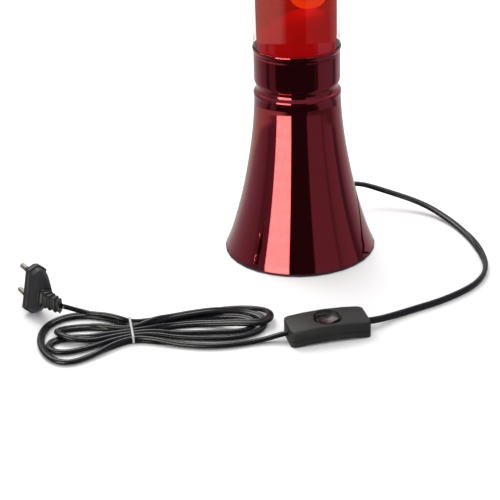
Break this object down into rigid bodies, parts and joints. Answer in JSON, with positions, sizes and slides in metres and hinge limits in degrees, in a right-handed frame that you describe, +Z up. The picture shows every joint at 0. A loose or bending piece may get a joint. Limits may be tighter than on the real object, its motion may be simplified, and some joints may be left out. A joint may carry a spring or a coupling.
{
  "type": "lava lamp",
  "caption": "Lava lamp: flared turned-metal base with a bulb holder, sealed glass bottle of wax and liquid, tapered cap, and a flat cord with an in-line rocker switch and a mains plug.",
  "frame": {"origin": "centre of the base at the level of its feet, on the lamp's axis", "axes": "+Z up along the lamp's axis; the cord leaves at the back, 55 degrees from +X towards +Y, and lies to the right and in front (-Y)"},
  "size_m": [0.3328, 0.2454, 0.392],
  "materials": {
    "red_lacquer": "clear wine-red lacquer over polished turned aluminium",
    "base_black": "black moulded base plate",
    "foot_rubber": "black rubber feet",
    "steel": "plain bright steel",
    "brass": "plain brass",
    "holder_plastic": "heat-resistant off-white plastic",
    "bulb_metal": "plain bulb cap",
    "bulb_glass": "frosted bulb glass",
    "bottle_glass": "clear bottle glass",
    "wax": "deep red translucent wax",
    "liner": "pale sealing liner",
    "cord_black": "black flexible sheath",
    "core_brown": "brown core insulation",
    "core_blue": "blue core insulation",
    "switch_black": "fine-textured black case",
    "rocker_black": "glossy black rocker",
    "plug_black": "satin black moulded plug",
    "tie_grey": "pale grey tie"
  },
  "bodies": {
    "lamp_base": {"base_plate": "base_black", "base_shell": "red_lacquer", "bracket_screw_1": "steel", "bracket_screw_2": "steel", "case_screw_1": "steel", "case_screw_2": "steel", "contact_blade": "brass", "cord_bushing": "cord_black", "cord_hank": "cord_black", "cord_tie": "tie_grey", "core_live": "core_brown", "core_neutral": "core_blue", "foot_pad_1": "foot_rubber", "foot_pad_2": "foot_rubber", "foot_pad_3": "foot_rubber", "foot_pad_4": "foot_rubber", "holder_bracket": "steel", "holder_nipple": "brass", "holder_nut": "brass", "inner_cord": "cord_black", "lamp_cord": "cord_black", "lampholder_body": "holder_plastic", "lampholder_contact": "brass", "lampholder_insert": "holder_plastic", "lampholder_thread": "brass", "pin_lower": "brass", "pin_sleeve_lower": "plug_black", "pin_sleeve_upper": "plug_black", "pin_upper": "brass", "plug_body": "plug_black", "plug_boot": "cord_black", "plug_tail": "cord_black", "switch_base": "switch_black", "switch_cover": "switch_black", "switch_tail": "cord_black", "switch_terminal_1": "brass", "switch_terminal_2": "brass", "terminal_screw_1": "steel", "terminal_screw_2": "steel"},
    "bottle": {"glass_bottle": "bottle_glass", "closure_liner": "liner", "crown_closure": "steel", "heating_coil": "steel", "wax_pool": "wax"},
    "top_cap": {"top_cap": "red_lacquer"},
    "bulb": {"bulb_cap": "bulb_metal", "bulb_glass": "bulb_glass", "bulb_filament": "steel", "bulb_stem": "bulb_glass"},
    "switch_rocker": {"switch_rocker": "rocker_black"},
    "wax_column": {"wax_column": "wax"},
    "wax_drop_large": {"wax_drop_large": "wax"},
    "wax_drop_small": {"wax_drop_small": "wax"}
  },
  "joints": [
    {"name": "bottle_lift", "type": "slide", "parent": "lamp_base", "child": "bottle", "axis": [0, 0, 1], "range_m": [0, 0.04]},
    {"name": "cap_lift", "type": "slide", "parent": "bottle", "child": "top_cap", "axis": [0, 0, 1], "range_m": [0, 0.045]},
    {"name": "bulb_turn", "type": "hinge", "parent": "lamp_base", "child": "bulb", "pos_m": [0, 0, 0.043], "axis": [0, 0, 1], "range_deg": [0, 1440]},
    {"name": "rocker_tip", "type": "hinge", "parent": "lamp_base", "child": "switch_rocker", "pos_m": [0.017, -0.138, 0.0104], "axis": [-0.2504, 0.9681, 0], "range_deg": [0, 26]},
    {"name": "column_rise", "type": "slide", "parent": "bottle", "child": "wax_column", "axis": [0, 0, 1], "range_m": [0, 0.012]},
    {"name": "large_drop_rise", "type": "slide", "parent": "bottle", "child": "wax_drop_large", "axis": [0, 0, 1], "range_m": [-0.004, 0.012]},
    {"name": "small_drop_rise", "type": "slide", "parent": "bottle", "child": "wax_drop_small", "axis": [0, 0, 1], "range_m": [-0.004, 0.008]}
  ]
}
